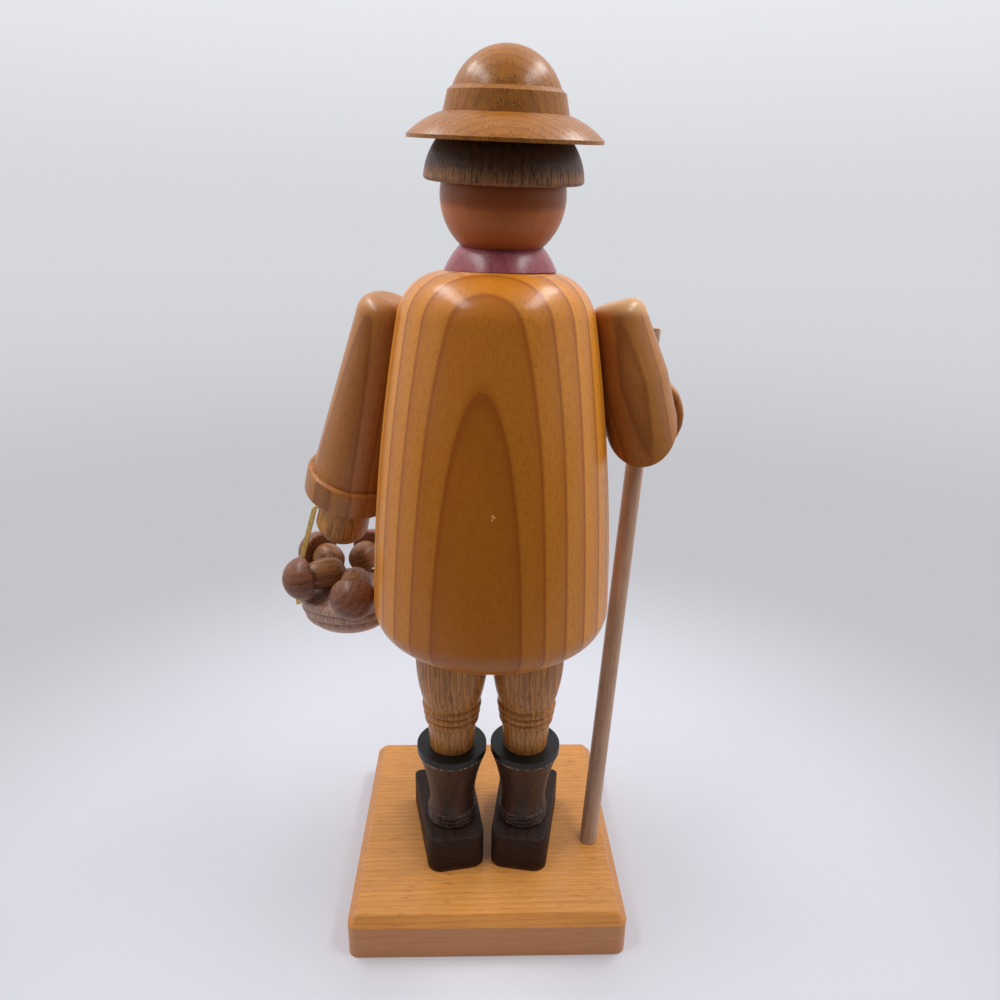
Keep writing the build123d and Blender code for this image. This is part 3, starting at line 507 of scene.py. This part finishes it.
scarf_stain = turned_wood(
    "scarf_stain",
    pale=(152, 78, 85),
    dark=(136, 67, 74),
    pith=(0.02, 0.04, 0.2),
    grain=up,
    ring_width=3.0,
    fibre=0.14,
    pore=0.45,
    pore_tone=(78, 34, 41),
    pore_across=2.4,
    pore_along=1.6,
    roughness=0.36,
    lacquer=0.45,
    lacquer_roughness=0.26,
)
head_stain = turned_wood(
    "head_stain",
    pale=(188, 108, 54),
    dark=(183, 103, 51),
    pith=head_centre + Vector((0.01, 0.05, 0)),
    grain=head_up,
    ring_width=4.0,
    ring_change=0.02,
    mottle=0.06,
    fibre=0.05,
    roughness=0.42,
    lacquer=0.25,
    lacquer_roughness=0.28,
    shine=0.6,
)
head_tree = head_stain.node_tree
# Painted shade and reflection: the back of the head is darkened just under the dark hair, and its lowest
# part is reddened as the scarf mirrored in it.
hair_shade_brown = (122, 46, 27)
scarf_reflection_red = (124, 48, 40)
head_height = along_line(head_stain, head_centre, head_up)
to_back = ramp_between(head_tree, along_line(head_stain, head_centre, -face_ahead), low=-4.0, high=8.0)
hair_shade_share = maths(head_tree, "MULTIPLY", ramp_between(head_tree, head_height, low=-3.2, high=-1.0), to_back)
paint_over(head_stain, hair_shade_share, hair_shade_brown, strength=0.45)
paint_over(head_stain, fade(head_tree, head_height, low=-13.0, high=-9.5), scarf_reflection_red, strength=0.4)
lip_red = (150, 62, 48)
smoked_black = (34, 22, 16)
cheek_red = (196, 84, 66)
brow_brown = (62, 40, 28)
eye_black = (14, 10, 9)
glint_white = (238, 236, 230)
lip_radii = (3.3, 3.3, 3.3)
hole_radii = (2.4, 9.0, 2.4)
cheek_radii = (4.2, 4.2, 4.2)
brow_radii = (2.3, 3.0, 0.5)
eye_radii = (1.25, 1.6, 1.45)
glint_radii = (0.36, 0.6, 0.36)
brow_slope = radians(5)
mouth = on_face(aside=0.0, above=-6.5)
paint_over(head_stain, spot_share(head_stain, mouth, lip_radii, soft=0.12), lip_red)
paint_over(head_stain, spot_share(head_stain, mouth, hole_radii, soft=0.04), smoked_black)
for side in (-1, 1):
    cheek = on_face(aside=9.0 * side, above=-3.0)
    paint_over(head_stain, spot_share(head_stain, cheek, cheek_radii, soft=0.7), cheek_red, strength=0.4)
    brow = on_face(aside=5.6 * side, above=6.2)
    brow_share = spot_share(head_stain, brow, brow_radii, turn=-brow_slope * side)
    paint_over(head_stain, brow_share, brow_brown)
    eye = on_face(aside=5.5 * side, above=3.0)
    paint_over(head_stain, spot_share(head_stain, eye, eye_radii), eye_black)
    glint = on_face(aside=5.5 * side + 0.4, above=3.55)
    paint_over(head_stain, spot_share(head_stain, glint, glint_radii), glint_white)
nose_stain = turned_wood(
    "nose_stain",
    pale=(176, 96, 66),
    dark=(160, 82, 56),
    pith=on_face(aside=4.0, above=-1.2),
    grain=face_ahead,
    ring_width=1.6,
    fibre=0.08,
    lacquer=0.35,
    lacquer_roughness=0.28,
)
scarf_foot = 15.5
scarf_lip = 8.6
scarf_height = 8.0
scarf_bore = 8.4
scarf_steps = 16
scarf_sides = 144
scarf_rings = []
for step in range(1, scarf_steps + 1):
    lean = radians(90 * step / scarf_steps)
    swell = (cos(lean) + 1 - sin(lean)) / 2
    scarf_rings.append((scarf_lip + (scarf_foot - scarf_lip) * swell, scarf_height * sin(lean)))
scarf_rings += [(scarf_bore, scarf_height), (scarf_bore, 0.0), (scarf_foot, 0.0)]
bpy.ops.object.select_all(action="DESELECT")
bpy.ops.mesh.primitive_circle_add(vertices=scarf_sides, radius=scarf_foot / 1000, location=neck_seat)
scarf = bpy.context.object
scarf.name = "scarf"
bpy.ops.object.transform_apply(location=True, rotation=True, scale=True)
bpy.ops.object.mode_set(mode="EDIT")
radius, height = scarf_foot, 0.0
for next_radius, next_height in scarf_rings:
    climb = (0, 0, (next_height - height) / 1000)
    bpy.ops.mesh.extrude_region_move(TRANSFORM_OT_translate={"value": climb})
    widen = next_radius / radius
    bpy.ops.transform.resize(value=(widen, widen, 1), center_override=neck_seat)
    radius, height = next_radius, next_height
bpy.ops.mesh.select_all(action="SELECT")
bpy.ops.mesh.remove_doubles(threshold=0.000005)
bpy.ops.mesh.normals_make_consistent(inside=False)
bpy.ops.object.mode_set(mode="OBJECT")
bpy.ops.mesh.primitive_uv_sphere_add(
    segments=128, ring_count=64, radius=head_radius / 1000, location=head_centre
)
ball = bpy.context.object
bpy.ops.object.select_all(action="DESELECT")
bpy.context.view_layer.objects.active = scarf
scarf.select_set(True)
head_seat = scarf.modifiers.new("head_seat", "BOOLEAN")
head_seat.operation = "DIFFERENCE"
head_seat.object = ball
bpy.ops.object.modifier_apply(modifier="head_seat")
bpy.data.objects.remove(ball, do_unlink=True)
bpy.ops.object.shade_smooth_by_angle(angle=radians(30))
scarf.data.materials.append(scarf_stain)
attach(scarf, "figure")
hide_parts("scarf_ring")
dress(head_stain, "head")
dress(nose_stain, "nose")

# Hair
# A turned bowl over the back of the head, left with an open grain and stained dark brown.
# Painted shade darkens the top of the hair, under the hat brim.
hair_stain = turned_wood(
    "hair_stain",
    pale=(152, 100, 58),
    dark=(118, 76, 44),
    pith=head_centre + Vector((0.02, 0.02, 0)),
    grain=head_up,
    ring_width=2.4,
    fibre=0.45,
    fibre_across=1.6,
    pore=0.65,
    pore_tone=(30, 18, 12),
    pore_across=2.8,
    pore_along=0.14,
    pore_cover=0.53,
    roughness=0.55,
    lacquer=0.3,
    lacquer_roughness=0.36,
)
# Painted shade: the hair is darkened towards the top, where the hat brim shades it.
brim_shade_brown = (42, 21, 12)
hair_height = along_line(hair_stain, head_centre, head_up)
brim_shade_share = ramp_between(hair_stain.node_tree, hair_height, low=4.0, high=9.5)
paint_over(hair_stain, brim_shade_share, brim_shade_brown, strength=0.75)
dress(hair_stain, "hair")

# Hat
# Brim, band and crown turned from one block of golden brown wood, with short dark pores in rows.
# A clear lacquer is thin enough to leave the pores open.
hat_low, hat_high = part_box("hat")
hat_middle = (hat_low + hat_high) / 2
hat_wood = turned_wood(
    "hat_wood",
    pale=(164, 103, 34),
    dark=(142, 84, 26),
    pith=hat_middle + Vector((0.004, 0.07, 0)),
    grain=(0.15, 0.1, 1),
    ring_width=2.2,
    wander=0.6,
    ring_change=0.04,
    fibre=0.16,
    pore=0.62,
    pore_tone=(88, 46, 16),
    pore_across=3.4,
    pore_along=1.3,
    pore_cover=0.57,
    pore_rows=0.24,
    roughness=0.42,
    lacquer=0.26,
    lacquer_roughness=0.22,
    shine=0.7,
)
dress(hat_wood, "hat")

# Arms and hands
# Straight turned sleeves stained red-brown, painted paler at the shoulder ends, partly end grain and
# partly painted light from the lamps above, are dowelled on.
# The hands are plain tan wood. The right arm is mitred at the elbow, and its fist holds the stick.
left_along = Vector((0.25, -0.26, -0.93))
forearm_along = Vector((-0.22, -0.97, 0.02))
end_grain_and_light_tan = (212, 158, 104)
sleeve_grain = {
    "left_sleeve": (left_along, (0.008, 0.024, 0.0), 0.0, 0.4),
    "right_upper_arm": (Vector((-0.3, 0.1, -0.95)), (0.003, 0.016, 0.0), 0.4, 0.9),
    "right_forearm": (forearm_along, (0.012, 0.004, 0.012), 0.0, 0.0),
}
for name, (along, to_pith, ring_start, end_grain_and_light_strength) in sleeve_grain.items():
    low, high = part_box(name)
    sleeve_stain = turned_wood(
        f"{name}_stain",
        pale=(181, 116, 54),
        dark=(152, 91, 39),
        pith=(low + high) / 2 + Vector(to_pith),
        grain=along,
        ring_width=5.2,
        ring_start=ring_start,
        wander=0.5,
        mottle=0.08,
        fibre=0.08,
        pore=0.2,
        pore_tone=(120, 70, 30),
        pore_along=0.3,
        roughness=0.42,
        lacquer=0.35,
        lacquer_roughness=0.26,
    )
    # Painted light: the shoulder ends, which face the lamps, are painted paler, on top of their end grain.
    if end_grain_and_light_strength > 0:
        below_shoulder = along_line(sleeve_stain, (0, 0, high.z), -up)
        end_grain_and_light_share = fade(sleeve_stain.node_tree, below_shoulder, low=2.6, high=5.4)
        paint_over(sleeve_stain, end_grain_and_light_share, end_grain_and_light_tan, strength=end_grain_and_light_strength)
    dress(sleeve_stain, name)
for name, along in (("left_hand", left_along), ("right_hand", forearm_along)):
    low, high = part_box(name)
    hand_wood = turned_wood(
        f"{name}_wood",
        pale=(204, 140, 66),
        dark=(166, 107, 48),
        pith=(low + high) / 2 + Vector((0.01, 0.03, 0)),
        grain=along,
        ring_width=2.0,
        fibre=0.3,
        pore=0.6,
        pore_tone=(116, 72, 34),
        pore_along=0.3,
        roughness=0.5,
        lacquer=0.25,
        lacquer_roughness=0.28,
    )
    dress(hand_wood, name)

# Walking stick
# A plain round rod, stained a mauve brown, glued through the fist with its foot on the plate.
# Its lower end is rubbed pale where it was rounded off.
stick_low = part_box("walking_stick")[0]
stick_wood = turned_wood(
    "stick_wood",
    pale=(191, 153, 126),
    dark=(170, 131, 105),
    pith=(stick_low.x + 0.02, stick_low.y, stick_low.z),
    grain=(-0.08, -0.19, 0.98),
    ring_width=1.6,
    fibre=0.2,
    pore=0.3,
    pore_tone=(128, 94, 74),
    pore_along=0.2,
    roughness=0.5,
    lacquer=0.25,
    lacquer_roughness=0.28,
)
rubbed_foot = (186, 152, 130)
above_stick_foot = along_line(stick_wood, (0, 0, stick_low.z), up)
foot_share = fade(stick_wood.node_tree, above_stick_foot, low=0.8, high=1.8)
paint_over(stick_wood, foot_share, rubbed_foot, strength=0.5)
dress(stick_wood, "walking_stick")

# Basket
# A shallow turned bowl with ringed sides and a domed filling, stained grey-brown.
# It hangs from the hand by a bent strip of pale split wood.
bowl_low, bowl_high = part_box("basket_bowl")
bowl_middle = (bowl_low + bowl_high) / 2
bowl_stain = turned_wood(
    "bowl_stain",
    pale=(194, 154, 134),
    dark=(167, 128, 110),
    pith=bowl_middle + Vector((0.01, 0.0, 0.0)),
    grain=up,
    ring_width=2.0,
    fibre=0.25,
    pore=0.4,
    pore_tone=(106, 78, 65),
    pore_along=0.3,
    roughness=0.5,
    lacquer=0.2,
    lacquer_roughness=0.3,
)
strip_wood = turned_wood(
    "strip_wood",
    pale=(252, 222, 136),
    dark=(232, 196, 110),
    pith=bowl_middle + Vector((0.0, 0.02, 0.0)),
    grain=(0.4, 0, 1),
    ring_width=1.4,
    fibre=0.2,
    roughness=0.55,
    lacquer=0.1,
    lacquer_roughness=0.34,
)
dress(bowl_stain, "basket_bowl")
dress(strip_wood, "basket_handle")

# Mushrooms
# Turned stalks glued into domed caps, laid across the rim of the basket.
# The flat underside of each cap is painted nearly black, as painted shade for the dark space under the
# hand.
underside_shade_black = (34, 24, 18)
for number in range(1, 5):
    low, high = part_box(f"mushroom_{number}_stalk")
    middle = (low + high) / 2
    cap_low, cap_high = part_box(f"mushroom_{number}_cap")
    cap_middle = (cap_low + cap_high) / 2
    along = (cap_middle - middle).normalized()
    stalk_wood = turned_wood(
        f"mushroom_{number}_stalk_wood",
        pale=(156, 105, 66),
        dark=(126, 81, 48),
        pith=middle + Vector((0.004, 0.012, 0.01)),
        grain=along,
        ring_width=1.8,
        fibre=0.35,
        pore=0.5,
        pore_tone=(82, 52, 32),
        pore_along=0.3,
        roughness=0.5,
        lacquer=0.25,
        lacquer_roughness=0.28,
    )
    cap_wood = turned_wood(
        f"mushroom_{number}_cap_wood",
        pale=(137, 86, 60),
        dark=(112, 68, 46),
        pith=middle + Vector((0.01, 0.01, 0.01)),
        grain=along,
        ring_width=2.4,
        fibre=0.3,
        pore=0.5,
        pore_tone=(76, 46, 30),
        pore_along=0.3,
        roughness=0.48,
        lacquer=0.25,
        lacquer_roughness=0.28,
    )
    # Painted shade: each cap's flat underside is darkened nearly black.
    along_cap_axis = along_line(cap_wood, cap_middle, along)
    underside_shade_share = fade(cap_wood.node_tree, along_cap_axis, low=-3.9, high=-3.5)
    paint_over(cap_wood, underside_shade_share, underside_shade_black, strength=0.9)
    dress(stalk_wood, f"mushroom_{number}_stalk")
    dress(cap_wood, f"mushroom_{number}_cap")

# Floor
# A wide pale sheet under the figure, which keeps its shadow and fades into the background.
# It ends at the tent's open side, so there the lacquer mirrors a dark room instead.
near_sheet = tone(196, 196, 201)
far_sheet = tone(213, 215, 219)
sheet_side = 8.0
room_dimming = 0.95
bpy.ops.object.select_all(action="DESELECT")
bpy.ops.mesh.primitive_plane_add(size=sheet_side, location=(0, 0, 0))
floor = bpy.context.object
floor.name = "floor"
floor_paper = bpy.data.materials.new("floor_paper")
floor_paper.use_nodes = True
paper_tree = floor_paper.node_tree
paper_shader = paper_tree.nodes["Principled BSDF"]
paper_shader.inputs["Base Color"].default_value = tone(207, 207, 214)
paper_shader.inputs["Roughness"].default_value = 0.7
paper_reach = vector_maths(paper_tree, "LENGTH", millimetres_from(paper_tree, (0, 0, 0)))
far_glow = paper_tree.nodes.new("ShaderNodeEmission")
near_reach = 500.0
near_share = maths(paper_tree, "DIVIDE", near_reach, paper_reach)
nearness = ramp_between(paper_tree, near_share, low=0.0, high=1.0)
paper_tree.links.new(mix_tones(paper_tree, nearness, far_sheet, near_sheet), far_glow.inputs["Color"])
paper_rays = paper_tree.nodes.new("ShaderNodeLightPath").outputs
to_room = along_line(floor_paper, (0, 0, 0), (0, 1, 0))
unseen = maths(paper_tree, "SUBTRACT", 1.0, paper_rays["Is Camera Ray"])
toward_room = ramp_between(paper_tree, to_room, low=130.0, high=280.0)
room_share = maths(paper_tree, "MULTIPLY", toward_room, unseen)
room_glow = maths(paper_tree, "MULTIPLY_ADD", room_share, -room_dimming, 1.0)
paper_tree.links.new(room_glow, far_glow.inputs["Strength"])
out_of_shade = ramp_between(paper_tree, paper_reach, low=100.0, high=330.0)
far_share = maths(paper_tree, "MAXIMUM", out_of_shade, room_share)
paper_mix = paper_tree.nodes.new("ShaderNodeMixShader")
paper_tree.links.new(far_share, paper_mix.inputs[0])
paper_tree.links.new(paper_shader.outputs[0], paper_mix.inputs[1])
paper_tree.links.new(far_glow.outputs[0], paper_mix.inputs[2])
paper_tree.links.new(paper_mix.outputs[0], paper_tree.nodes["Material Output"].inputs["Surface"])
floor.data.materials.append(floor_paper)

# Light
# A white tent all round, dark on its open side behind the figure's back, with two strips overhead.
# Seen straight, the tent is a plain backdrop that lightens upwards.
tent_white = tone(240, 241, 245)
backdrop_top = tone(236, 238, 242)
opening = Vector((0.07, 1, 0.55)).normalized()
opening_dimming = 0.75
mirror_dimming = 0.21
world = bpy.data.worlds.new("tent")
bpy.context.scene.world = world
world.use_nodes = True
tent_tree = world.node_tree
tent = tent_tree.nodes["Background"]
tent_where = tent_tree.nodes.new("ShaderNodeTexCoord").outputs["Generated"]
tent_rays = tent_tree.nodes.new("ShaderNodeLightPath").outputs
to_opening = vector_maths(tent_tree, "DOT_PRODUCT", tent_where, opening)
open_share = ramp_between(tent_tree, to_opening, low=0.25, high=0.8)
lit = maths(tent_tree, "MULTIPLY_ADD", open_share, -opening_dimming, 1.0)
mirrored_extra = maths(tent_tree, "MULTIPLY", open_share, -mirror_dimming)
mirrored = maths(tent_tree, "MAXIMUM", tent_rays["Is Glossy Ray"], tent_rays["Is Transmission Ray"])
strength = maths(tent_tree, "MULTIPLY_ADD", mirrored, mirrored_extra, lit)
strength = maths(tent_tree, "MAXIMUM", strength, tent_rays["Is Camera Ray"])
tent_rise = vector_maths(tent_tree, "DOT_PRODUCT", tent_where, up)
rise_share = ramp_between(tent_tree, tent_rise, low=0.0, high=0.35)
backdrop = mix_tones(tent_tree, rise_share, far_sheet, backdrop_top)
tent_colour = mix_tones(tent_tree, tent_rays["Is Camera Ray"], tent_white, backdrop)
tent_tree.links.new(tent_colour, tent.inputs["Color"])
tent_tree.links.new(strength, tent.inputs["Strength"])
strip_width = 0.08
strip_length = 0.45
strip_power = 1.5
strip_place = Vector((0.24, 0.03, 0.54))
strip_tilt = radians(24)
for side in (-1, 1):
    strip = bpy.data.lights.new("strip", "AREA")
    strip.shape = "RECTANGLE"
    strip.size = strip_width
    strip.size_y = strip_length
    strip.energy = strip_power
    lamp = bpy.data.objects.new("strip", strip)
    lamp.location = (strip_place.x * side, strip_place.y, strip_place.z)
    lamp.rotation_euler = (0, strip_tilt * side, 0)
    bpy.context.scene.collection.objects.link(lamp)

# Camera
# It looks at the back of the figure from a little above the coat, close up with a wide lens.
view_place = Vector((0.0061, 0.2222, 0.2188))
view_pitch = radians(19.325)
view_yaw = radians(2.233)
view_roll = radians(1.255)
level_ahead = Vector((-sin(view_yaw), -cos(view_yaw), 0))
level_right = Vector((-cos(view_yaw), sin(view_yaw), 0))
ahead = cos(view_pitch) * level_ahead - sin(view_pitch) * up
level_up = sin(view_pitch) * level_ahead + cos(view_pitch) * up
view_right = cos(view_roll) * level_right + sin(view_roll) * level_up
view_up = cos(view_roll) * level_up - sin(view_roll) * level_right
camera = bpy.data.objects.new("camera", bpy.data.cameras.new("camera"))
camera.data.sensor_width = 36.0
camera.data.lens = 26.64
camera.data.clip_start = 0.01
view_turn = Matrix((view_right, view_up, -ahead)).transposed().to_4x4()
camera.matrix_world = Matrix.Translation(view_place) @ view_turn
bpy.context.scene.collection.objects.link(camera)
bpy.context.scene.camera = camera
bpy.context.scene.view_settings.view_transform = "Standard"
